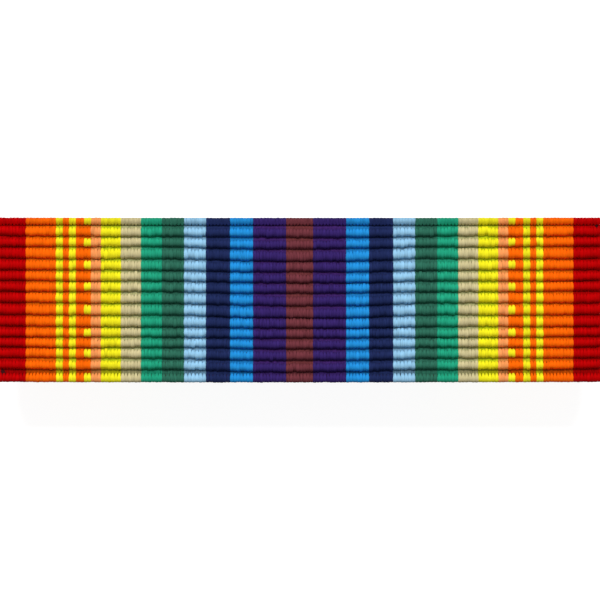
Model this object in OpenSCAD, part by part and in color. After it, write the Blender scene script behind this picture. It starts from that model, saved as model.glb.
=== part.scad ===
// Ribbon bar: a brass bar wound with a ribbed, striped ribbon, with a sprung pin on its back.
// It lies on its back. +Z points out of the ribbon's face, +Y to the face's upper edge, and X runs
// along the bar. The origin is in the middle of the plane that the hinge and the catch rest on.
// Lengths are in millimetres.

/* [Ribbon] */
// Width of the ribbon, which is its length along the bar
ribbon_w = 34.93; // [30:0.01:60]
// Height of the face, over the ribbon's two folds
face_h = 9.53; // [8:0.01:20]
// Thickness of the ribbon over its ribs
ribbon_t = 1; // [0.8:0.05:1.6]
// Distance along the ribbon from one rib to the next
rib_pitch = 0.654; // [0.6:0.001:0.69]
// Radius of a rib's round back
rib_r = 0.35; // [0.35:0.01:0.4]
// Depth of the grooves between the ribs
groove_depth = 0.18; // [0.1:0.01:0.2]
// Distance from the middle of the face up to the nearest rib
rib_shift = 0.09; // [-0.3:0.01:0.3]
// Radius on which the middles of the ribs turn at a fold
fold_r = 0.25; // [0.2:0.01:0.35]
// Gap on the back between the ribbon's two cut ends
slot_h = 3.4; // [3:0.1:4]

/* [Plate] */
// Thickness of the plate that the ribbon is wound on
plate_t = 0.8; // [0.7:0.05:2]
// Radius of the plate's long edges
plate_edge_r = 0.3; // [0.1:0.05:0.3]
// Radius of the plate's four corners, seen from the front
plate_corner_r = 0.5; // [0.3:0.1:1.5]
// Distance from the ribbon's edge in to the plate's end
plate_inset = 0.2; // [0.1:0.05:1]
// Clearance between the plate and the ribbon
wrap_gap = 0.05; // [0.03:0.01:0.1]

/* [Strip] */
// Thickness of the strip soldered to the plate's back
strip_t = 0.4; // [0.3:0.05:0.8]
// Clearance between the strip and each cut end of the ribbon
strip_gap = 0.2; // [0.1:0.05:0.4]
// Distance from the plate's end in to the strip's end
strip_inset = 2.4; // [1:0.1:3]
// Radius of the strip's corners
strip_corner_r = 0.8; // [0.3:0.1:1]

/* [Hinge] */
// Distance from the plate's end in to the rivet
hinge_inset = 4.8; // [4.4:0.1:8]
// Thickness of each ear
ear_t = 0.5; // [0.3:0.05:0.7]
// Length of each ear along the bar
ear_l = 2.4; // [2:0.1:3]
// Radius of the ears' free corners
ear_corner_r = 0.8; // [0.3:0.1:0.9]
// Diameter of the rivet
rivet_d = 0.8; // [0.6:0.05:1]
// Diameter of the rivet's heads
rivet_head_d = 1.3; // [1.1:0.05:1.6]
// Thickness of the rivet's heads
rivet_head_t = 0.2; // [0.1:0.05:0.4]

/* [Catch] */
// Distance from the plate's end in to the middle of the catch
catch_inset = 5.8; // [5:0.1:8]
// Length of the catch along the bar
catch_l = 2.4; // [1.5:0.1:3]
// Thickness of the catch's metal
catch_t = 0.45; // [0.3:0.05:0.6]
// Inner radius of the catch's bends
catch_bend_r = 0.15; // [0.1:0.05:0.4]
// Height of the catch's lip above the plane that it rests on
lip_h = 1.4; // [1.2:0.05:1.8]

/* [Pin] */
// Diameter of the pin's wire
wire_d = 0.8; // [0.6:0.05:1]
// Clearance of the pin in the catch, between the ears and round the rivet
pin_play = 0.05; // [0.03:0.01:0.1]
// Thickness of the pin's rolled eye round the rivet
eye_wall = 0.5; // [0.4:0.05:0.6]
// Height of the pin's eye above the plane that the bar rests on
eye_lift = 0.2; // [0.1:0.05:0.4]
// Room for cloth between the ribbon's back and the pin
cloth_gap = 1.25; // [1:0.05:3]
// Length of the pin past the catch
point_past = 2.6; // [1.5:0.1:3.5]
// Length of the pin's tapered point
point_l = 2.4; // [1:0.1:3]
// Diameter of the pin's tip
tip_d = 0.12; // [0.08:0.02:0.3]

/* [Hidden] */
$fn = 32;

// The weaver's stripes, from the middle of the ribbon out to either edge. ENDS is a stripe's share
// of the warp threads on its side, and DYE is their colour.
ENDS = 0;
DYE = 1;
STRIPES = [
    [13.5, "#75353D"],
    [33, "#3A2767"],
    [23, "#2692DC"],
    [24, "#252D58"],
    [22, "#96CBEB"],
    [22, "#346D5A"],
    [21, "#26A47E"],
    [20, "#D0C393"],
    [20, "#F7EE24"],
    [10, "#F89E5D"],
    [7, "#FC5C0A"],
    [8, "#FC5C0A"],
    [7, "#F5EE29"],
    [6, "#FC5C0A"],
    [7, "#F5EE28"],
    [30, "#FB690A"],
    [27, "#BA0609"],
];
// The stripe whose odd ribs are of another colour. Ribs are counted from the middle of the face.
CHECKED = 10;
CHECK_DYE = "#F5EE29";
// Which ribs are drawn, as [the even ones, the odd ones]
ALL_RIBS = [true, true];
EVEN_RIBS = [true, false];
ODD_RIBS = [false, true];

// The bar is stacked up from the plane that it rests on.
strip_h = slot_h - 2 * strip_gap;
wire_z = catch_t + pin_play + wire_d / 2;
wound_t = plate_t + 2 * (wrap_gap + ribbon_t);
mid_z = wire_z + wire_d / 2 + cloth_gap + wound_t / 2;
plate_back_z = mid_z - plate_t / 2;
strip_z = plate_back_z - strip_t;

plate_l = ribbon_w - 2 * plate_inset;
plate_h = face_h - 2 * (wrap_gap + ribbon_t);
strip_l = plate_l - 2 * strip_inset;
hinge_x = hinge_inset - plate_l / 2;
catch_x = plate_l / 2 - catch_inset;

bore_r = rivet_d / 2 + pin_play;
eye_r = bore_r + eye_wall;
rivet_z = eye_lift + eye_r;
eye_l = strip_h - 2 * (ear_t + pin_play);
point_x = catch_x + catch_l / 2 + point_past;

// From the middle of the face, the line of the ribs' middles runs straight, turns at the fold, goes
// straight down the edge, turns again and ends in the leaf on the back.
face_run = face_h / 2 - rib_r - fold_r;
fold_run = fold_r * PI / 2;
edge_run = wound_t - 2 * (rib_r + fold_r);
back_start = face_run + edge_run + 2 * fold_run;
ribbon_end = back_start + face_run - slot_h / 2;
first_rib = ceil((rib_r - ribbon_end - rib_shift) / rib_pitch);
last_rib = floor((ribbon_end - rib_r - rib_shift) / rib_pitch);

function within(value, low, high) = max(low, min(high, value));

// How far round a fold of 90 degrees a point is, where run is its distance past the fold's start
function turned(run) = within(run / fold_r * 180 / PI, 0, 90);

// Middle of a rib in the bar's cross-section, as [y, z] from the middle of the wound bar, where
// along is its distance along the ribbon from the middle of the face, up or down.
function rib_middle(along) =
    let (
        run = abs(along),
        first = turned(run - face_run),
        second = turned(run - face_run - fold_run - edge_run),
        out = min(run, face_run) + fold_r * sin(first),
        back = fold_r * (1 - cos(second)) + max(0, run - back_start),
        down = fold_r * (1 - cos(first) + sin(second)) + within(run - face_run - fold_run, 0, edge_run)
    )
    [sign(along) * (out - back), wound_t / 2 - rib_r - down];

// Warp threads between the middle of the ribbon and the start of stripe i
function ends_before(i) = i == 0 ? 0 : ends_before(i - 1) + STRIPES[i - 1][ENDS];

// Where stripe i starts, as a distance from the middle of the ribbon, to the nearest micron
function stripe_x(i) =
    round(1000 * ribbon_w / 2 * ends_before(i) / ends_before(len(STRIPES))) / 1000;

// Rectangle about the origin with round corners
module rounded(width, height, r) {
    square([width - 2 * r, height], center = true);
    square([width, height - 2 * r], center = true);
    for (side = [-1, 1], end = [-1, 1])
        translate([side * (width / 2 - r), end * (height / 2 - r)])
            circle(r);
}

// Outline that stands on the X axis, with its two lower corners round
module foot(width, height, r) {
    translate([-width / 2, r])
        square([width, height - r]);
    translate([r - width / 2, 0])
        square([width - 2 * r, height]);
    for (side = [-1, 1])
        translate([side * (width / 2 - r), r])
            circle(r);
}

// Draws a cross-section of the bar, as [y, z], from one x to another
module from_to(x_from, x_to) {
    translate([x_from, 0, 0])
        rotate([90, 0, 90])
            linear_extrude(x_to - x_from)
                children();
}

// Draws a side view of the bar, as [x, z], across its middle
module across(width) {
    rotate([90, 0, 0])
        linear_extrude(width, center = true)
            children();
}

// Cross-section of the ribbon without its ribs: wound round the plate and open on the back
module band() {
    edge_r = rib_r + fold_r - groove_depth;
    translate([0, mid_z])
        difference() {
            rounded(face_h - 2 * groove_depth, wound_t - 2 * groove_depth, edge_r);
            rounded(plate_h + 2 * wrap_gap, plate_t + 2 * wrap_gap, plate_edge_r + wrap_gap);
            translate([-slot_h / 2, -wound_t])
                square([slot_h, wound_t]);
        }
}

// Cross-section of the ribs, where drawn is one of the choices above
module ribs(drawn) {
    for (k = [first_rib : last_rib])
        if (drawn[abs(k) % 2])
            translate([0, mid_z] + rib_middle(rib_shift + k * rib_pitch))
                circle(rib_r);
}

// One stripe of the ribbon between two places along the bar
module stripe(i, x_from, x_to) {
    checked = i == CHECKED;
    color(STRIPES[i][DYE])
        from_to(x_from, x_to) {
            band();
            ribs(checked ? EVEN_RIBS : ALL_RIBS);
        }
    if (checked)
        color(CHECK_DYE)
            from_to(x_from, x_to)
                ribs(ODD_RIBS);
}

// The woven ribbon: a stripe over the middle, and the others on both sides of it
module ribbon() {
    stripe(0, -stripe_x(1), stripe_x(1));
    for (i = [1 : len(STRIPES) - 1]) {
        stripe(i, stripe_x(i), stripe_x(i + 1));
        stripe(i, -stripe_x(i + 1), -stripe_x(i));
    }
}

// The plate inside the ribbon
module plate() {
    intersection() {
        from_to(-plate_l / 2, plate_l / 2)
            translate([0, mid_z])
                rounded(plate_h, plate_t, plate_edge_r);
        translate([0, 0, mid_z])
            linear_extrude(2 * plate_t, center = true)
                rounded(plate_l, plate_h, plate_corner_r);
    }
}

// The strip soldered to the plate's back, which carries the hinge and the catch
module strip() {
    translate([0, 0, strip_z])
        linear_extrude(strip_t)
            rounded(strip_l, strip_h, strip_corner_r);
}

// The hinge: two ears and the rivet through them
module hinge() {
    translate([hinge_x, 0, 0]) {
        for (side = [-1, 1])
            translate([0, side * (strip_h - ear_t) / 2, 0])
                across(ear_t)
                    foot(ear_l, plate_back_z, ear_corner_r);
        translate([0, 0, rivet_z])
            rotate([90, 0, 0])
                cylinder(h = strip_h, d = rivet_d, center = true);
        for (side = [-1, 1])
            translate([0, side * (strip_h + rivet_head_t) / 2, rivet_z])
                rotate([90, 0, 0])
                    cylinder(h = rivet_head_t, d = rivet_head_d, center = true);
    }
}

// The catch: a hook bent from sheet, open on its lower side for the pin
module catch() {
    from_to(catch_x - catch_l / 2, catch_x + catch_l / 2)
        difference() {
            foot(strip_h, plate_back_z, catch_bend_r + catch_t);
            translate([0, catch_t])
                foot(strip_h - 2 * catch_t, strip_z - catch_t, catch_bend_r);
            translate([-strip_h, lip_h])
                square([strip_h, strip_z - lip_h]);
        }
}

// The bar: the plate with what is soldered to it
module bar() {
    color("#B58A3C") {
        plate();
        strip();
        hinge();
        catch();
    }
}

// The pin: a rolled eye on the rivet, and a wire that ends in a point past the catch. The eye is turned
// so that the seams of its round faces are on its far side from the wire.
module pin() {
    color("#C9C4B8")
        difference() {
            union() {
                translate([hinge_x, 0, rivet_z])
                    rotate([90, 0, 180])
                        cylinder(h = eye_l, r = eye_r, center = true);
                translate([hinge_x, 0, wire_z])
                    rotate([0, 90, 0])
                        cylinder(h = point_x - point_l - hinge_x, d = wire_d);
                translate([point_x - point_l, 0, wire_z])
                    rotate([0, 90, 0])
                        cylinder(h = point_l, d1 = wire_d, d2 = tip_d);
            }
            translate([hinge_x, 0, rivet_z])
                rotate([90, 0, 180])
                    cylinder(h = strip_h, r = bore_r, center = true);
        }
}

ribbon();
bar();
pin();
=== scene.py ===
import math

import bpy
import numpy as np
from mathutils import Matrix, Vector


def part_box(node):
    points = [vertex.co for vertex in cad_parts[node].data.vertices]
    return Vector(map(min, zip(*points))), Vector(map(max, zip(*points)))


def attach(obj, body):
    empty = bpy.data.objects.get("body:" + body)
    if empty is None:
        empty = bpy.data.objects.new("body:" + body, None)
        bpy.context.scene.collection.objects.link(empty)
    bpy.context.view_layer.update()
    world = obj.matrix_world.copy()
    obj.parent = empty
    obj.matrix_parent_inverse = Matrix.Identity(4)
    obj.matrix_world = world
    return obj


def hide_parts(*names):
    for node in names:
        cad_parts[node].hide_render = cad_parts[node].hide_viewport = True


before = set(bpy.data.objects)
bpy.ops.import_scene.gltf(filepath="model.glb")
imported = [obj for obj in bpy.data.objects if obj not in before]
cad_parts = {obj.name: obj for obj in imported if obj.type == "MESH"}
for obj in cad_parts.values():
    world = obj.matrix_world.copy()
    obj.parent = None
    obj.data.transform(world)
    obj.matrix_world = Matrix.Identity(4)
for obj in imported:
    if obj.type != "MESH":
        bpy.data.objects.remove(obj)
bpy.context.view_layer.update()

# The picture. The bar lies on its pin on a white table and is seen from straight above with a long
# lens, under a large soft lamp that stands beyond its upper edge. Its face fills the picture's width.
MM = 0.001
LENS = 200
SENSOR = 36
PICTURE_WIDTH = 34.82 * MM
CAMERA_ASIDE = 0.025 * MM
NEAREST_SEEN = 10 * MM
FARTHEST_SEEN = 10
LAMP_DISTANCE = 0.5
LAMP_HEIGHT_ANGLE = math.radians(57)
LAMP_SIZE = (0.30, 0.12)
LAMP_LIGHT = 3.08
ROOM_LIGHT = 0.26

ribbon_low, ribbon_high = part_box("ribbon")
scene = bpy.context.scene
scene.view_settings.view_transform = "Standard"

camera = bpy.data.objects.new("camera", bpy.data.cameras.new("camera"))
camera.data.lens = LENS
camera.data.sensor_width = SENSOR
camera.data.clip_start = NEAREST_SEEN
camera.data.clip_end = FARTHEST_SEEN
camera.location = (CAMERA_ASIDE, 0, ribbon_high.z + PICTURE_WIDTH * LENS / SENSOR)
scene.collection.objects.link(camera)
scene.camera = camera

lamp = bpy.data.objects.new("lamp", bpy.data.lights.new("lamp", "AREA"))
lamp.data.shape = "RECTANGLE"
lamp.data.size, lamp.data.size_y = LAMP_SIZE
lamp.data.energy = LAMP_LIGHT * math.pi * LAMP_DISTANCE**2
lamp.location = (
    0,
    LAMP_DISTANCE * math.cos(LAMP_HEIGHT_ANGLE),
    LAMP_DISTANCE * math.sin(LAMP_HEIGHT_ANGLE),
)
lamp.rotation_euler = (LAMP_HEIGHT_ANGLE - math.pi / 2, 0, 0)
scene.collection.objects.link(lamp)

room = bpy.data.worlds.new("room")
room.use_nodes = True
room.node_tree.nodes["Background"].inputs["Color"].default_value = (1, 1, 1, 1)
room.node_tree.nodes["Background"].inputs["Strength"].default_value = ROOM_LIGHT
scene.world = room

# The table: a wide round board whose rim curves up all round, so that no edge of it shows from the
# side. Most of its white is a glow of its own, so that the bar's shadow on it stays faint. It throws
# no light back on the ribbon, whose lowest rib is dark on its lower side.
TABLE_R = 0.7
RIM_R = 0.2
RIM_STEPS = 8
TABLE_SIDES = 96
TABLE_GREY = (0.35, 0.35, 0.35, 1)
TABLE_ROUGHNESS = 0.8
TABLE_GLOW = 0.89


def add_mesh(name, points, faces):
    """A new piece from its points and faces."""
    mesh = bpy.data.meshes.new(name)
    mesh.from_pydata([tuple(p) for p in points], [], [tuple(f) for f in faces])
    piece = bpy.data.objects.new(name, mesh)
    scene.collection.objects.link(piece)
    return piece


def new_material(name):
    """A node material, with its tree and its shader."""
    material = bpy.data.materials.new(name)
    material.use_nodes = True
    return material, material.node_tree, material.node_tree.nodes["Principled BSDF"]


def set_inputs(tree, node, **inputs):
    """Sets a node's inputs by name, or links them when a socket is given. Spaces are underscores."""
    for name, value in inputs.items():
        socket = node.inputs[name.replace("_", " ")]
        if isinstance(value, bpy.types.NodeSocket):
            tree.links.new(value, socket)
        else:
            socket.default_value = value
    return node


def table_paint():
    """Matt grey paint that a glow of its own makes white."""
    material, tree, shader = new_material("table_white")
    set_inputs(
        tree,
        shader,
        Base_Color=TABLE_GREY,
        Roughness=TABLE_ROUGHNESS,
        Emission_Color=(1, 1, 1, 1),
        Emission_Strength=TABLE_GLOW,
    )
    return material


def round_table():
    """The board as rings of points, from the edge of its flat middle to the top of its rim."""
    rise = np.linspace(0, math.pi / 2, RIM_STEPS)
    outline = zip(TABLE_R + RIM_R * np.sin(rise), RIM_R * (1 - np.cos(rise)))
    ways = np.arange(TABLE_SIDES) * 2 * math.pi / TABLE_SIDES
    points = [(r * math.cos(way), r * math.sin(way), z) for r, z in outline for way in ways]
    faces = [tuple(range(TABLE_SIDES))]
    for ring in range(RIM_STEPS - 1):
        for i in range(TABLE_SIDES):
            a, b = ring * TABLE_SIDES + i, ring * TABLE_SIDES + (i + 1) % TABLE_SIDES
            faces.append((a, a + TABLE_SIDES, b + TABLE_SIDES, b))
    return add_mesh("table", points, faces)


table = round_table()
table.data.materials.append(table_paint())
table.data.polygons.foreach_set("use_smooth", [True] * len(table.data.polygons))
table.visible_diffuse = False

# The yarns of the ribbon: fine rayon, dyed before weaving. A thread is a bundle of filaments that
# catch the light in fine lines, and dark dyes look more streaky than pale ones.
DYES = {
    "maroon": (111, 53, 61),
    "violet": (54, 36, 102),
    "azure": (36, 143, 216),
    "navy": (32, 43, 87),
    "light_blue": (147, 197, 229),
    "dark_green": (47, 106, 87),
    "teal": (35, 160, 124),
    "khaki": (201, 189, 143),
    "yellow": (239, 229, 32),
    "salmon": (243, 153, 88),
    "deep_orange": (248, 103, 6),
    "orange": (250, 103, 6),
    "red": (182, 1, 3),
}
FILAMENT = 0.022 * MM
FILAMENT_LINE = 25 * FILAMENT
FILAMENT_DETAIL = 2.0
FILAMENT_RELIEF = 0.010 * MM
RELIEF_STRENGTH = 0.6
NOISE_LOW = 0.3
NOISE_HIGH = 0.7
UNEVENNESS = 0.25
EVEN_AT = 1.3
MOST_LIGHT = 0.97
YARN_ROUGHNESS = 0.7
YARN_SHINE = 0.02

# The shade also changes with four values that a piece keeps at its points. One is shade itself. The
# others are 1 at most: tuck in the grooves, painted darker there with a painted greenish tint on
# yellows, under at a float's lower end, where dark dyes are painted paler, and lee on the side away
# from the lamp, painted darker except on reds.
PAINTED_GROOVE_TINT = 0.06
PAINTED_GROOVE_SHADE = -0.5
SAME_HUE = 0.5
PAINTED_UNDERSIDE_LIFT = 2.4
PALE = 0.73
PAINTED_LEE_SHADE = -0.14
REDS_SPARED_PAINTED_SHADE = 2.5


def linear(channel):
    """Light given off by a colour value on a screen's scale, from 0 to 255."""
    share = channel / 255
    return share / 12.92 if share <= 0.04045 else ((share + 0.055) / 1.055) ** 2.4


def add_node(tree, kind, **inputs):
    """A new node of a tree, with its inputs set or linked by name."""
    return set_inputs(tree, tree.nodes.new(kind), **inputs)


def maths(tree, operation, *values):
    """The result of a sum on sockets and numbers, worked out in the tree."""
    made = tree.nodes.new("ShaderNodeMath")
    made.operation = operation
    for socket, value in zip(made.inputs, values):
        if isinstance(value, bpy.types.NodeSocket):
            tree.links.new(value, socket)
        else:
            socket.default_value = value
    return made.outputs["Value"]


def point_value(tree, name):
    """Reads in a material a value that the piece keeps at its points."""
    read = tree.nodes.new("ShaderNodeAttribute")
    read.attribute_name = name
    return read.outputs["Fac"]


def dyed_yarn(name, colour):
    """Filament yarn of one dye. A dye as bright as EVEN_AT would show no streaks."""
    material, tree, shader = new_material("yarn_" + name)
    light = [linear(channel) for channel in colour]
    red, green, _ = light
    brightness = (max(light) + sum(light) / 3) / 2
    streaks = UNEVENNESS * (EVEN_AT - brightness)
    # lift: painted light at a float's lower end, which makes dark dyes paler there.
    lift = max(0, PAINTED_UNDERSIDE_LIFT * math.log(PALE / brightness))
    # lee: painted shade on the side away from the lamp, weaker on red dyes.
    lee = PAINTED_LEE_SHADE * min(1, max(0, 1 - REDS_SPARED_PAINTED_SHADE * (red - green)))
    # The hue turn in the grooves: a painted tint of shaded yarn, for warm dyes only.
    painted_tint = PAINTED_GROOVE_TINT * green / red if red > green else 0

    stretched = add_node(
        tree,
        "ShaderNodeMapping",
        Vector=tree.nodes.new("ShaderNodeTexCoord").outputs["Object"],
        Scale=(1 / FILAMENT, 1 / FILAMENT_LINE, 1 / FILAMENT_LINE),
    )
    filaments = add_node(
        tree,
        "ShaderNodeTexNoise",
        Vector=stretched.outputs["Vector"],
        Scale=1.0,
        Detail=FILAMENT_DETAIL,
    ).outputs["Fac"]
    uneven = add_node(
        tree,
        "ShaderNodeMapRange",
        Value=filaments,
        From_Min=NOISE_LOW,
        From_Max=NOISE_HIGH,
        To_Min=1 - streaks,
        To_Max=1 + streaks,
    )
    value = uneven.outputs["Result"]
    # Painted shade and light: the point values add to the yarn's brightness, shade as tone and painted
    # crease shade, under as painted lift, lee and tuck as painted shade.
    for layer, amount in (("shade", 1), ("under", lift), ("lee", lee), ("tuck", PAINTED_GROOVE_SHADE)):
        value = maths(tree, "MULTIPLY_ADD", point_value(tree, layer), amount, value)
    # The hue turns a little where tuck is high: painted tint of groove shade.
    dye = add_node(
        tree,
        "ShaderNodeHueSaturation",
        Hue=maths(tree, "MULTIPLY_ADD", point_value(tree, "tuck"), painted_tint, SAME_HUE),
        Color=(*[min(amount, MOST_LIGHT) for amount in light], 1),
        Value=value,
    )
    relief = add_node(
        tree, "ShaderNodeBump", Height=filaments, Distance=FILAMENT_RELIEF, Strength=RELIEF_STRENGTH
    )
    set_inputs(
        tree,
        shader,
        Base_Color=dye.outputs["Color"],
        Normal=relief.outputs["Normal"],
        Roughness=YARN_ROUGHNESS,
        Specular_IOR_Level=YARN_SHINE,
    )
    return material


yarn = {name: dyed_yarn(name, colour) for name, colour in DYES.items()}

# The woven body of the ribbon: the close mass of threads under the ribs. It is wound once round the
# bar, over both long edges, and its two cut ends lie on the back with a gap between them.
RIBBON_T = 1.0 * MM
RIB_R = 0.35 * MM
FOLD_R = 0.12 * MM
BODY_DEPTH = 0.33 * MM
INNER_FOLD_R = 0.35 * MM
SLOT_H = 3.4 * MM
BODY_STEP = 0.12 * MM

# The stripes from the middle of the bar outwards, with the number of warp threads in each. Both
# halves of the ribbon have them. The body takes painted groove shade and painted lift, and along the
# last groove of the face it is painted darker than elsewhere, as painted shade.
STRIPES = [
    ("maroon", 13.5),
    ("violet", 33),
    ("azure", 23),
    ("navy", 24),
    ("light_blue", 22),
    ("dark_green", 22),
    ("teal", 21),
    ("khaki", 20),
    ("yellow", 20),
    ("salmon", 10),
    ("checked", 7),
    ("deep_orange", 8),
    ("yellow", 7),
    ("deep_orange", 6),
    ("yellow", 7),
    ("orange", 30),
    ("red", 27),
]
LAST_GROOVE = -4.16 * MM
LAST_GROOVE_REACH = 0.16 * MM
LAST_GROOVE_PAINTED_SHADING = {"tuck": 0.3, "under": 0.116, "shade": -0.53}
BODY_PAINTED_SHADING = {"tuck": 0.7, "under": 0.08, "shade": 0}

face_h = ribbon_high.y - ribbon_low.y
wound_t = ribbon_high.z - ribbon_low.z
half_length = (ribbon_high.x - ribbon_low.x) / 2
mid_z = (ribbon_high.z + ribbon_low.z) / 2
face_run = face_h / 2 - RIB_R - FOLD_R
fold_run = FOLD_R * math.pi / 2
edge_run = wound_t - 2 * (RIB_R + FOLD_R)
back_start = face_run + edge_run + 2 * fold_run
ribbon_end = back_start + face_run - SLOT_H / 2
thread_pitch = half_length / sum(count for _, count in STRIPES)


def course(along, depth, fold):
    """Where the ribbon runs in the bar's cross-section.

    along is the distance from the middle of the face, up or down, on the line of the ribs' middles,
    depth the distance below the ribs' tops and fold the radius of the folds there. Returns y, z and
    the angle by which the cloth has turned from facing up.
    """
    run = np.abs(along)
    high, deep = face_h / 2 - depth, wound_t / 2 - depth
    face = np.clip(run / face_run, 0, 1)
    first = np.clip((run - face_run) / fold_run, 0, 1) * math.pi / 2
    edge = np.clip((run - face_run - fold_run) / edge_run, 0, 1)
    second = np.clip((run - face_run - fold_run - edge_run) / fold_run, 0, 1) * math.pi / 2
    back = np.clip((run - back_start) / face_run, 0, 1)
    y = (face - back) * (high - fold) + fold * (np.sin(first) - 1 + np.cos(second))
    z = deep - fold * (1 - np.cos(first) + np.sin(second)) - edge * 2 * (deep - fold)
    return np.sign(along) * y, mid_z + z, -np.sign(along) * (first + second)


def stripe_spans():
    """The stripes from left to right: the dye, the place of the left edge and the width of each."""
    dyes, counts = zip(*STRIPES)
    across = (0, *counts[:0:-1], 2 * counts[0], *counts[1:])
    edges = np.cumsum(across) * thread_pitch - half_length
    return list(zip(dyes[:0:-1] + dyes, edges[:-1], np.diff(edges)))


def dye_faces(piece, dyes):
    """Gives each face of a piece the yarn of its dye."""
    names = list(yarn)
    for name in names:
        piece.data.materials.append(yarn[name])
    piece.data.polygons.foreach_set("material_index", [names.index(dye) for dye in dyes])


def keep_values(piece, name, values, kind="FLOAT"):
    """Keeps a named value at each point of a piece."""
    layer = piece.data.attributes.new(name, kind, "POINT")
    field = "vector" if kind == "FLOAT_VECTOR" else "value"
    number = np.int32 if kind == "INT" else np.float32
    layer.data.foreach_set(field, np.ravel(values).astype(number))


def ribbon_body():
    """The closed body, with a face of each dye across every stripe."""
    stations = np.linspace(-ribbon_end, ribbon_end, 1 + round(2 * ribbon_end / BODY_STEP))
    outer_y, outer_z, _ = course(stations, BODY_DEPTH, FOLD_R)
    inner_y, inner_z, _ = course(stations, RIBBON_T, INNER_FOLD_R)
    ring = list(zip([*outer_y, *inner_y[::-1]], [*outer_z, *inner_z[::-1]]))
    count = len(ring)
    spans = stripe_spans()
    edges = [left for _, left, _ in spans] + [half_length]
    points = [(x, y, z) for x in edges for y, z in ring]
    faces, dyes = [], []
    for row, (dye, _, _) in enumerate(spans):
        for i in range(count):
            a, b = row * count + i, row * count + (i + 1) % count
            faces.append((a, b, b + count, a + count))
        dyes += ["deep_orange" if dye == "checked" else dye] * count
    last = len(spans) * count
    for i in range(len(stations) - 1):
        j = count - 1 - i
        faces.append((i + 1, i, j, j - 1))
        faces.append((last + i, last + i + 1, last + j - 1, last + j))
        dyes += [spans[0][0], spans[-1][0]]
    piece = add_mesh("ribbon_body", points, faces)
    dye_faces(piece, dyes)
    # The body's values of painted shade and light, with more painted shade along the last groove.
    in_last_groove = np.abs(stations - LAST_GROOVE) < LAST_GROOVE_REACH
    for layer, elsewhere in BODY_PAINTED_SHADING.items():
        outside = np.where(in_last_groove, LAST_GROOVE_PAINTED_SHADING[layer], elsewhere)
        around = [*outside, *np.full(len(stations), elsewhere)]
        keep_values(piece, layer, np.tile(around, len(edges)))
    return piece


body = ribbon_body()
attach(body, "root")
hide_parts("ribbon")

# The ribs: thick cords of weft inside the cloth, one for each rib. The thirteen of the face have the
# heights and the bows that show, in millimetres from the top down. All of them wander a little.
RIB_PITCH = 0.654 * MM
TOP_GROOVE = 0.48 * MM
FACE_RIBS = [0.63, 0.60, 0.71, 0.66, 0.62, 0.62, 0.67, 0.70, 0.67, 0.60, 0.60, 0.63, 0.70]
FACE_BOWS = [0.06, 0.12, 0.14, 0.10, 0.10, 0.09, 0.15, 0.16, 0.09, 0.05, 0.07, 0.12, 0.12]
BOW_REACH = 5.6 * MM
BOW_FLATNESS = 4
END_LIFT = 0.045 * MM
RIBS_BEYOND = 7
WANDER = 0.012 * MM
LONG_WAVE = 2.1 * MM
SHORT_WAVE = 0.9 * MM
SHORT_WAVE_SHARE = 0.6

# Three ribs differ. The one above the face's first groove is pressed narrow and flat in a crease, and
# is painted darker, as painted shade, since it faces the lamp more. The last of the face lies slack in
# a wide groove, and the one below it rolls over the lower edge.
CREASE = 0.27 * MM
CREASED_SHARE = 0.68
CREASED_HEIGHT = 0.75
CREASED_DEPTH = 0.205 * MM
CREASED_PAINTED_SHADE = -0.12
SLACK_SHARE = 0.87
CORNER_SHARE = 0.95
CORNER_DROP = 0.31 * MM
CORNER_DEPTH = 0.255 * MM
CORNER_BOW = 0.05 * MM
CORNER_TURN = math.radians(20)
EDGE_WANDER = 0.25 * WANDER
SEED = 7

random = np.random.default_rng(SEED)
groove = face_h / 2 - TOP_GROOVE - np.concatenate([[0], np.cumsum(FACE_RIBS)]) * MM

# Beyond the face the ribs lie at even steps. Above it, the creased one comes before them.
steps = (np.arange(RIBS_BEYOND) + 0.5) * RIB_PITCH
above = np.concatenate([CREASE + steps[-2::-1], [CREASE / 2]])
rib_places = np.concatenate([groove[0] + above, (groove[:-1] + groove[1:]) / 2, groove[-1] - steps])
middle_rib = len(rib_places) // 2
beyond = np.ones(RIBS_BEYOND)
rib_shares = np.concatenate([beyond, np.array(FACE_RIBS) * MM / RIB_PITCH, beyond])
rib_bows = np.concatenate([0 * beyond, np.array(FACE_BOWS) * MM, 0 * beyond])
rib_heights = np.ones(len(rib_places))
rib_depths = np.full(len(rib_places), RIB_R)
rib_wanders = np.full(len(rib_places), WANDER)
rib_waves = random.uniform(0, 2 * math.pi, (len(rib_places), 2))

creased = RIBS_BEYOND - 1
rib_shares[creased] = CREASED_SHARE
rib_heights[creased] = CREASED_HEIGHT
rib_depths[creased] = CREASED_DEPTH
rib_wanders[creased] = EDGE_WANDER

corner = RIBS_BEYOND + len(FACE_RIBS)
rib_places[corner] = groove[-1] - CORNER_DROP
rib_shares[corner] = CORNER_SHARE
rib_bows[corner] = CORNER_BOW
rib_depths[corner] = CORNER_DEPTH
rib_wanders[corner] = EDGE_WANDER
rib_shares[corner - 1] *= SLACK_SHARE


def rib_line(rib, x):
    """Where a rib's middle lies along the ribbon, at each place x along the bar."""
    bow = rib_bows[rib] * np.exp(-(x / BOW_REACH) ** BOW_FLATNESS)
    lift = END_LIFT * (x / half_length) ** BOW_FLATNESS
    first, second = rib_waves[rib]
    wave = np.sin(x / LONG_WAVE + first) + SHORT_WAVE_SHARE * np.sin(x / SHORT_WAVE + second)
    return rib_places[rib] - (bow - lift) + rib_wanders[rib] * wave


ribs = [rib for rib in range(len(rib_places)) if abs(rib_places[rib]) + RIB_R < ribbon_end]

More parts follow.
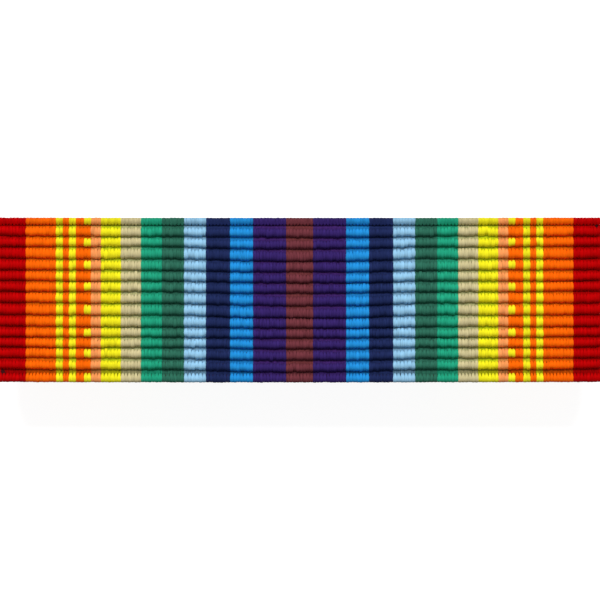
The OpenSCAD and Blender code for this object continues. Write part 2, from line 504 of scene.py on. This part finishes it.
# The weft itself: one dark cord that crosses from edge to edge inside each rib and turns back round
# the last threads into the next. Its turns show as loops between the ribs at both edges, and the cord
# as dark points between the tips of the floats.
CORD_R = 0.18 * MM
CORD_SIDES = 10
TURN_R = 0.14 * MM
TURN_DIP = 0.22 * MM
CROSSING_POINTS = 24
TURN_POINTS = 9
WEFT_COLOUR = (60, 16, 18)
SOCKETS = {float: "NodeSocketFloat", int: "NodeSocketInt", bpy.types.Material: "NodeSocketMaterial"}


def weft_line():
    """The middle line of the cord, from the first rib to the last, and its thickness along it."""
    reach = half_length - CORD_R - TURN_R
    points = []
    for number, rib in enumerate(ribs):
        side = 1 if number % 2 else -1
        for x in np.linspace(side * reach, -side * reach, CROSSING_POINTS):
            points.append((x, rib_line(rib, x), rib_depths[rib], rib_shares[rib]))
        if rib == ribs[-1]:
            break
        ends = [(rib_line(r, -side * reach), rib_depths[r], rib_shares[r]) for r in (rib, rib + 1)]
        start, end = np.array(ends)
        for way in np.linspace(0, math.pi, TURN_POINTS + 2)[1:-1]:
            along, depth, share = start + (end - start) * (1 - math.cos(way)) / 2
            out = math.sin(way)
            points.append((-side * (reach + TURN_R * out), along, depth + TURN_DIP * out, share))
    x, along, depths, shares = np.transpose(points)
    y, z, _ = course(along, depths, FOLD_R)
    return np.column_stack([x, y, z]), np.minimum(1, shares)


def tree_with(name, **kinds):
    """A geometry tree with a mesh going in and out, and a named input for each size of its kind."""
    tree = bpy.data.node_groups.new(name, "GeometryNodeTree")
    tree.interface.new_socket("Geometry", in_out="INPUT", socket_type="NodeSocketGeometry")
    tree.interface.new_socket("Geometry", in_out="OUTPUT", socket_type="NodeSocketGeometry")
    for size, kind in kinds.items():
        tree.interface.new_socket(size.replace("_", " "), in_out="INPUT", socket_type=SOCKETS[kind])
    return tree, tree.nodes.new("NodeGroupInput").outputs, tree.nodes.new("NodeGroupOutput").inputs


def carrier_value(tree, name, kind="FLOAT"):
    """Reads in a geometry tree a value that the carrier keeps at its points."""
    read = tree.nodes.new("GeometryNodeInputNamedAttribute")
    read.data_type = kind
    return set_inputs(tree, read, Name=name).outputs["Attribute"]


def finish_yarn(tree, mesh, material, out):
    """Ends a tree: its mesh is dyed, shaded smooth and sent out."""
    dyed = add_node(tree, "GeometryNodeSetMaterial", Geometry=mesh, Material=material)
    smooth = add_node(tree, "GeometryNodeSetShadeSmooth", Geometry=dyed.outputs["Geometry"])
    tree.links.new(smooth.outputs["Geometry"], out["Geometry"])


def grow(piece, tree, **sizes):
    """Runs a geometry tree on a piece with the given sizes and keeps the mesh that it makes."""
    modifier = piece.modifiers.new(tree.name, "NODES")
    modifier.node_group = tree
    sockets = {s.name: s.identifier for s in tree.interface.items_tree if s.in_out == "INPUT"}
    for size, value in sizes.items():
        modifier[sockets[size.replace("_", " ")]] = value
    shown = piece.evaluated_get(bpy.context.evaluated_depsgraph_get())
    mesh = bpy.data.meshes.new_from_object(shown)
    piece.modifiers.clear()
    piece.data = mesh
    mesh.name = piece.name


def cord_tree():
    """Makes a round cord along the carrier's edges, as thick at each point as its value says."""
    tree, given, out = tree_with("cord", Radius=float, Sides=int, Yarn=bpy.types.Material)
    line = add_node(tree, "GeometryNodeMeshToCurve", Mesh=given["Geometry"])
    circle = add_node(
        tree, "GeometryNodeCurvePrimitiveCircle", Resolution=given["Sides"], Radius=given["Radius"]
    )
    swept = add_node(
        tree,
        "GeometryNodeCurveToMesh",
        Curve=line.outputs["Curve"],
        Profile_Curve=circle.outputs["Curve"],
        Scale=carrier_value(tree, "thickness"),
        Fill_Caps=True,
    )
    finish_yarn(tree, swept.outputs["Mesh"], given["Yarn"], out)
    return tree


def add_lines(name, lines, thickness):
    """A carrier with one row of edges along each line, and the thickness of the yarn at each point."""
    piece = add_mesh(name, np.concatenate(lines), [])
    starts = np.cumsum([0] + [len(line) for line in lines])
    ends = [(i, i + 1) for a, b in zip(starts[:-1], starts[1:]) for i in range(a, b - 1)]
    piece.data.edges.add(len(ends))
    piece.data.edges.foreach_set("vertices", np.ravel(ends))
    keep_values(piece, "thickness", thickness)
    return piece


cord = cord_tree()
weft_points, weft_thickness = weft_line()
weft = add_lines("weft", [weft_points], weft_thickness)
grow(weft, cord, Radius=CORD_R, Sides=CORD_SIDES, Yarn=dyed_yarn("weft", WEFT_COLOUR))
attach(weft, "root")

# The outermost warp threads of the cloth's body, one above the other at both edges of the ribbon.
# They follow it all the way and rise and fall as they pass the cords of weft.
EDGE_THREAD_R = 0.10 * MM
EDGE_THREAD_SIDES = 7
EDGE_THREAD_DEPTHS = [0.42, 0.57, 0.72, 0.87]
EDGE_THREAD_WAVE = 0.03 * MM
EDGE_STEP = 0.11 * MM


def edge_threads():
    """The middle lines of the threads, each from one cut end to the other."""
    stations = np.linspace(-ribbon_end, ribbon_end, round(2 * ribbon_end / EDGE_STEP))
    lines = []
    for side in (-1, 1):
        for number, depth in enumerate(EDGE_THREAD_DEPTHS):
            wave = math.pi * stations / RIB_PITCH + number * math.pi
            fold = FOLD_R + (INNER_FOLD_R - FOLD_R) * (number + 0.5) / len(EDGE_THREAD_DEPTHS)
            y, z, _ = course(stations, depth * MM + 0.5 * EDGE_THREAD_WAVE * np.sin(wave), fold)
            x = side * (half_length - EDGE_THREAD_WAVE * (1 + np.cos(wave)))
            lines.append(np.column_stack([x, y, z]))
    return lines


edge_lines = edge_threads()
selvedge = add_lines("selvedge", edge_lines, np.ones(sum(len(line) for line in edge_lines)))
grow(selvedge, cord, Radius=EDGE_THREAD_R, Sides=EDGE_THREAD_SIDES, Yarn=yarn["red"])
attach(selvedge, "root")

# The floats, where the warp passes over a rib: hoops of flattened yarn, close side by side, one piece
# for each dye. A float stands for three or four threads, as the teeth along the grooves show. It is
# widest over the rib's top and comes to a narrow tip where it dives into the groove at either side.
FLOAT_T = 0.045 * MM
FLOAT_PITCH = 0.198 * MM
FLOAT_CROWDING = 1.22
FLOAT_W = FLOAT_CROWDING * FLOAT_PITCH
FLOAT_ROUNDNESS = 0.86
FLOAT_SQUEEZE = 0.82
FLOAT_WRAP = math.radians(200)
FOLDED_WRAP = math.radians(265)
FOLDED = math.radians(8)
FLOAT_TAPER = 0.1
FLOAT_FULL = 0.75
FLOAT_BLUNTNESS = 0.7
FLOAT_STEPS = 12
FLOAT_SIDES = 8

# The floats of a column lie a little to the right and to the left by turns. The rest is chance: how
# far a float lies off its rib's line, less so in some dyes, and how it differs in turn, size and shade.
COLUMN_SHIFT = 0.004 * MM
LIE = 0.014 * MM
STRAIGHTER = {"red": 0.4, "orange": 0.7, "deep_orange": 0.7, "azure": 0.8}
SKEW = 0.02
SPREAD_OF_WIDTH = 0.03
SPREAD_OF_LENGTH = 0.03
SPREAD_OF_HEIGHT = 0.02
SHADE_OF_COLUMN = 0.03
SHADE_OF_FLOAT = 0.03


def flat_outline(tree, given):
    """The outline of a float cut across: half an ellipse with a flat inner side."""
    arc = add_node(
        tree,
        "GeometryNodeCurveArc",
        Resolution=given["Sides"],
        Radius=1.0,
        Start_Angle=-math.pi / 2,
        Sweep_Angle=math.pi,
    )
    half_width = maths(tree, "MULTIPLY", given["Width"], 0.5)
    flat = add_node(tree, "ShaderNodeCombineXYZ", X=given["Thickness"], Y=half_width, Z=1.0)
    pressed = add_node(
        tree, "GeometryNodeTransform", Geometry=arc.outputs["Curve"], Scale=flat.outputs["Vector"]
    )
    closed = add_node(
        tree, "GeometryNodeSetSplineCyclic", Geometry=pressed.outputs["Geometry"], Cyclic=True
    )
    return closed.outputs["Geometry"]


def painted_shading_masks(tree, way, fullness):
    """Masks of painted shade and light along a float. way runs from 0 at its lower end to 1 at its
    upper one.
    """
    below = maths(tree, "LESS_THAN", way, 0.5)
    rise = maths(tree, "SINE", maths(tree, "MULTIPLY", way, math.pi))
    side = maths(tree, "SINE", maths(tree, "MULTIPLY", way, 2 * math.pi))
    lower_end = maths(tree, "POWER", maths(tree, "SUBTRACT", 1.0, rise), 2.0)
    return {
        "tuck": maths(tree, "POWER", maths(tree, "SUBTRACT", 1.0, fullness), 2.0),
        "under": maths(tree, "MULTIPLY", below, lower_end),
        "lee": maths(tree, "MULTIPLY", below, side),
    }


def bent_line(tree, given, way, wrap):
    """The inner middle line of a float: an arc over the rib, a little squarer than a circle."""

    def swollen(value):
        power = maths(tree, "POWER", maths(tree, "ABSOLUTE", value), given["Roundness"])
        return maths(tree, "MULTIPLY", maths(tree, "SIGN", value), power)

    angle = maths(tree, "MULTIPLY", maths(tree, "SUBTRACT", way, 0.5), wrap)
    place = add_node(
        tree,
        "ShaderNodeCombineXYZ",
        X=swollen(maths(tree, "COSINE", angle)),
        Y=swollen(maths(tree, "SINE", angle)),
    )
    radius = maths(tree, "SUBTRACT", given["Rib radius"], given["Thickness"])
    inside = tree.nodes.new("ShaderNodeVectorMath")
    inside.operation = "SCALE"
    set_inputs(tree, inside, Vector=place.outputs["Vector"], Scale=radius)
    arc = add_node(tree, "GeometryNodeCurveArc", Resolution=given["Steps"])
    bent = add_node(
        tree,
        "GeometryNodeSetPosition",
        Geometry=arc.outputs["Curve"],
        Position=inside.outputs["Vector"],
    )
    return bent.outputs["Geometry"]


def float_tree():
    """Puts a float over a rib at every point of the carrier, turned and sized by its values."""
    tree, given, out = tree_with(
        "warp_floats",
        Rib_radius=float,
        Thickness=float,
        Width=float,
        Wrap=float,
        Folded_wrap=float,
        Taper=float,
        Fullness=float,
        Bluntness=float,
        Roundness=float,
        Steps=int,
        Sides=int,
        Yarn=bpy.types.Material,
    )
    outline = flat_outline(tree, given)
    way = tree.nodes.new("GeometryNodeSplineParameter").outputs["Factor"]
    lean = maths(tree, "MULTIPLY", maths(tree, "POWER", way, given["Fullness"]), math.pi)
    fullness = maths(tree, "POWER", maths(tree, "SINE", lean), given["Bluntness"])
    rest = maths(tree, "SUBTRACT", 1.0, given["Taper"])
    swell = maths(tree, "MULTIPLY_ADD", fullness, rest, given["Taper"])
    shades = painted_shading_masks(tree, way, fullness)
    floats = tree.nodes.new("GeometryNodeJoinGeometry")

    # The last to be linked is the first instance: floats on the flat, then those round the folds.
    for wrap in (given["Folded wrap"], given["Wrap"]):
        line = bent_line(tree, given, way, wrap)
        # Stores the masks of painted shade and light along the float's line.
        for layer, amount in shades.items():
            stored = add_node(
                tree, "GeometryNodeStoreNamedAttribute", Geometry=line, Name=layer, Value=amount
            )
            line = stored.outputs["Geometry"]
        swept = add_node(
            tree,
            "GeometryNodeCurveToMesh",
            Curve=line,
            Profile_Curve=outline,
            Scale=swell,
            Fill_Caps=True,
        )
        upright = add_node(
            tree,
            "GeometryNodeTransform",
            Geometry=swept.outputs["Mesh"],
            Rotation=(0, -math.pi / 2, 0),
        )
        single = add_node(
            tree, "GeometryNodeGeometryToInstance", Geometry=upright.outputs["Geometry"]
        )
        tree.links.new(single.outputs["Instances"], floats.inputs["Geometry"])

    turned = add_node(
        tree, "FunctionNodeEulerToRotation", Euler=carrier_value(tree, "turn", "FLOAT_VECTOR")
    )
    placed = add_node(
        tree,
        "GeometryNodeInstanceOnPoints",
        Points=given["Geometry"],
        Instance=floats.outputs["Geometry"],
        Pick_Instance=True,
        Instance_Index=carrier_value(tree, "folded", "INT"),
        Rotation=turned.outputs["Rotation"],
        Scale=carrier_value(tree, "size", "FLOAT_VECTOR"),
    )
    real = add_node(tree, "GeometryNodeRealizeInstances", Geometry=placed.outputs["Instances"])
    finish_yarn(tree, real.outputs["Geometry"], given["Yarn"], out)
    return tree


def float_columns():
    """The columns of floats along the ribbon, from left to right.

    Each is the dye over the odd ribs, the dye over the even ones, the middle and the width.
    """
    columns = []
    for dye, left, width in stripe_spans():
        count = max(1, round(width / FLOAT_PITCH))
        dyes = ("yellow", "deep_orange") if dye == "checked" else (dye, dye)
        columns += [(dyes, left + (i + 0.5) * width / count, width / count) for i in range(count)]
    return columns


columns = float_columns()
column_shades = random.normal(0, SHADE_OF_COLUMN, len(columns))
floats_of_dye = float_tree()


def warp_floats(dye):
    """All the floats of one dye, over every rib. The rib in the middle of the face is an even one."""
    places, turns, sizes, shades, folded = [], [], [], [], []
    for rib in ribs:
        even = 1 - (rib - middle_rib) % 2
        for number, (dyes, middle, width) in enumerate(columns):
            if dyes[even] != dye:
                continue
            x = middle - COLUMN_SHIFT if even else middle + COLUMN_SHIFT
            lie = 0 if rib in (creased, corner) else random.normal(0, LIE)
            along = rib_line(rib, x) + lie * STRAIGHTER.get(dye, 1)
            y, z, _ = course(along, rib_depths[rib], FOLD_R)
            reach = RIB_PITCH * rib_shares[rib] / 2
            upper, lower = (course(along + r, RIB_R, FOLD_R)[2] for r in (reach, -reach))
            turn = CORNER_TURN if rib == corner else (upper + lower) / 2
            places.append((x, y, z))
            turns.append((turn, 0, random.normal(0, SKEW)))
            folded.append(abs(upper - lower) > FOLDED)
            wide = width / FLOAT_PITCH * random.normal(1, SPREAD_OF_WIDTH)
            long = FLOAT_SQUEEZE * rib_shares[rib] * random.normal(1, SPREAD_OF_LENGTH)
            high = rib_heights[rib] * random.normal(1, SPREAD_OF_HEIGHT)
            sizes.append((wide, long, high))
            # The creased rib gets painted shade, as it faces the lamp more than the others.
            pressed = CREASED_PAINTED_SHADE if rib == creased else 0
            shades.append(pressed + column_shades[number] + random.normal(0, SHADE_OF_FLOAT))
    piece = add_mesh("warp_" + dye, places, [])
    keep_values(piece, "turn", turns, "FLOAT_VECTOR")
    keep_values(piece, "size", sizes, "FLOAT_VECTOR")
    keep_values(piece, "shade", shades)
    keep_values(piece, "folded", folded, "INT")
    grow(
        piece,
        floats_of_dye,
        Rib_radius=RIB_R,
        Thickness=FLOAT_T,
        Width=FLOAT_W,
        Wrap=FLOAT_WRAP,
        Folded_wrap=FOLDED_WRAP,
        Taper=FLOAT_TAPER,
        Fullness=FLOAT_FULL,
        Bluntness=FLOAT_BLUNTNESS,
        Roundness=FLOAT_ROUNDNESS,
        Steps=FLOAT_STEPS,
        Sides=FLOAT_SIDES,
        Yarn=yarn[dye],
    )
    for done_with in ("turn", "size", "folded"):
        if done_with in piece.data.attributes:
            piece.data.attributes.remove(piece.data.attributes[done_with])
    return piece


warp = [warp_floats(dye) for dye in DYES]
for piece in warp:
    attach(piece, "root")

# The cut ends of the ribbon, on the back: every thread ends in a short tuft of its filaments. A few
# filaments have also broken on the face and stand up out of the grooves.
TUFT_LENGTH = (0.10 * MM, 0.40 * MM)
TUFT_R = 0.022 * MM
TUFT_ROOT = 0.05 * MM
TUFT_BEND = 0.25
TUFT_LAYERS = (0.06, 0.94)
TUFT_ACROSS = (-0.45, 0.45)
FILAMENTS_IN_TUFT = 5
LOOSE = 40
LOOSE_LENGTH = (0.10 * MM, 0.22 * MM)
LOOSE_R = 0.009 * MM
LOOSE_DEPTH = 0.12 * MM
LOOSE_BEND = 0.3
HAIR_RINGS = (0, 0.45, 0.8)
HAIR_THINNING = 0.6
ANY_OTHER_WAY = (0.31, 0.52, 0.79)


def hair(start, way, length, bend, radius):
    """A thin three-sided hair with a point, as points and faces counted from 0."""
    way = np.array(way) / np.linalg.norm(way)
    side = np.cross(way, ANY_OTHER_WAY)
    side /= np.linalg.norm(side)
    over = np.cross(way, side)
    points = []
    for share in HAIR_RINGS:
        middle = np.array(start) + way * length * share + np.array(bend) * length * share**2
        for turn in (0, 2 * math.pi / 3, 4 * math.pi / 3):
            spread = radius * (1 - HAIR_THINNING * share)
            points.append(middle + spread * (math.cos(turn) * side + math.sin(turn) * over))
    points.append(np.array(start) + (way + np.array(bend)) * length)
    faces = [(2, 1, 0), (6, 7, 9), (7, 8, 9), (8, 6, 9)]
    for ring in (0, 3):
        for a, b in ((0, 1), (1, 2), (2, 0)):
            faces.append((ring + a, ring + b, ring + 3 + b, ring + 3 + a))
    return points, faces


def hairs(name, strands):
    """One piece of many hairs, each in the yarn of its own dye."""
    points, faces, dyes = [], [], []
    for dye, strand in strands:
        strand_points, strand_faces = hair(*strand)
        faces += [tuple(len(points) + n for n in face) for face in strand_faces]
        points += strand_points
        dyes += [dye] * len(strand_faces)
    piece = add_mesh(name, points, faces)
    dye_faces(piece, dyes)
    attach(piece, "root")
    return piece


def tufts():
    """The filaments that stand out of the two cut ends."""
    strands = []
    for side in (-1, 1):
        for dyes, middle, width in columns:
            for number in range(FILAMENTS_IN_TUFT):
                depth = BODY_DEPTH + random.uniform(*TUFT_LAYERS) * (RIBBON_T - BODY_DEPTH)
                y, z, _ = course(side * ribbon_end, depth, FOLD_R)
                start = (middle + random.uniform(*TUFT_ACROSS) * width, y + side * TUFT_ROOT, z)
                bend = random.normal(0, TUFT_BEND, 3)
                strand = (start, (0, -side, 0), random.uniform(*TUFT_LENGTH), bend, TUFT_R)
                strands.append((dyes[number % 2], strand))
    return strands


def loose_strands():
    """The broken filaments on the face."""
    strands = []
    face = [rib for rib in ribs if abs(rib_places[rib]) < face_run]
    for number in random.integers(0, len(columns), LOOSE):
        dyes, middle, _ = columns[number]
        rib = random.choice(face)
        along = rib_line(rib, middle) + random.choice((-0.5, 0.5)) * RIB_PITCH
        y, z, _ = course(along, LOOSE_DEPTH, FOLD_R)
        way = (random.uniform(-1, 1), random.uniform(-0.5, 0.5), random.uniform(0.1, 0.5))
        length = random.uniform(*LOOSE_LENGTH)
        bend = random.normal(0, LOOSE_BEND, 3)
        strands.append((dyes[0], ((middle, y, z), way, length, bend, LOOSE_R)))
    return strands


cut_ends = hairs("cut_ends", tufts())
loose_filaments = hairs("loose_filaments", loose_strands())

# The metal of the bar: rolled brass plate with a strip, a hinge and a catch soldered to its back,
# brushed along its length and a little tarnished in patches.
BRASS = (0.50, 0.31, 0.085)
TARNISH = (0.27, 0.155, 0.05)
BRASS_ROUGHNESS = 0.30
TARNISHED_SHARE = 0.45
BRUSH_MARK = 0.02 * MM
BRUSH_STROKE = 60 * BRUSH_MARK
BRUSH_DETAIL = 3.0
BRUSH_RELIEF = 0.002 * MM
BRUSH_STRENGTH = 0.5
BRUSHED_SMOOTHER = 0.08
BRUSHED_ROUGHER = 0.12
PATCH = 3.0 * MM
PATCH_DETAIL = 5.0
PATCH_LOW = 0.42
PATCH_HIGH = 0.72


def brushed_metal(name, colour, patch_colour, roughness, patches):
    """Metal with fine brush marks along the bar and duller patches."""
    material, tree, shader = new_material(name)
    place = tree.nodes.new("ShaderNodeTexCoord").outputs["Object"]
    stretched = add_node(
        tree,
        "ShaderNodeMapping",
        Vector=place,
        Scale=(1 / BRUSH_STROKE, 1 / BRUSH_MARK, 1 / BRUSH_MARK),
    )
    marks = add_node(
        tree,
        "ShaderNodeTexNoise",
        Vector=stretched.outputs["Vector"],
        Scale=1.0,
        Detail=BRUSH_DETAIL,
    ).outputs["Fac"]
    dull = add_node(tree, "ShaderNodeTexNoise", Vector=place, Scale=1 / PATCH, Detail=PATCH_DETAIL)
    amount = add_node(
        tree,
        "ShaderNodeMapRange",
        Value=dull.outputs["Fac"],
        From_Min=PATCH_LOW,
        From_Max=PATCH_HIGH,
        To_Min=0.0,
        To_Max=patches,
    )
    mixed = tree.nodes.new("ShaderNodeMix")
    mixed.data_type = "RGBA"
    set_inputs(tree, mixed, Factor=amount.outputs["Result"])
    clean, patched = (socket for socket in mixed.inputs if socket.type == "RGBA")
    clean.default_value = (*colour, 1)
    patched.default_value = (*patch_colour, 1)
    rough = add_node(
        tree,
        "ShaderNodeMapRange",
        Value=marks,
        To_Min=roughness - BRUSHED_SMOOTHER,
        To_Max=roughness + BRUSHED_ROUGHER,
    )
    relief = add_node(
        tree, "ShaderNodeBump", Height=marks, Distance=BRUSH_RELIEF, Strength=BRUSH_STRENGTH
    )
    set_inputs(
        tree,
        shader,
        Base_Color=next(socket for socket in mixed.outputs if socket.type == "RGBA"),
        Metallic=1.0,
        Roughness=rough.outputs["Result"],
        Normal=relief.outputs["Normal"],
    )
    return material


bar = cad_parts["bar"]
bar.data.materials.clear()
bar.data.materials.append(brushed_metal("brass", BRASS, TARNISH, BRASS_ROUGHNESS, TARNISHED_SHARE))

# The pin: springy drawn wire, nickel plated, with its eye rolled round the rivet and a sharp point.
# The nickel is brighter than the brass and worn duller in patches.
NICKEL = (0.66, 0.63, 0.58)
WORN_NICKEL = (0.42, 0.39, 0.34)
NICKEL_ROUGHNESS = 0.22
WORN_SHARE = 0.5

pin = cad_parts["pin"]
pin.data.materials.clear()
pin.data.materials.append(brushed_metal("nickel", NICKEL, WORN_NICKEL, NICKEL_ROUGHNESS, WORN_SHARE))
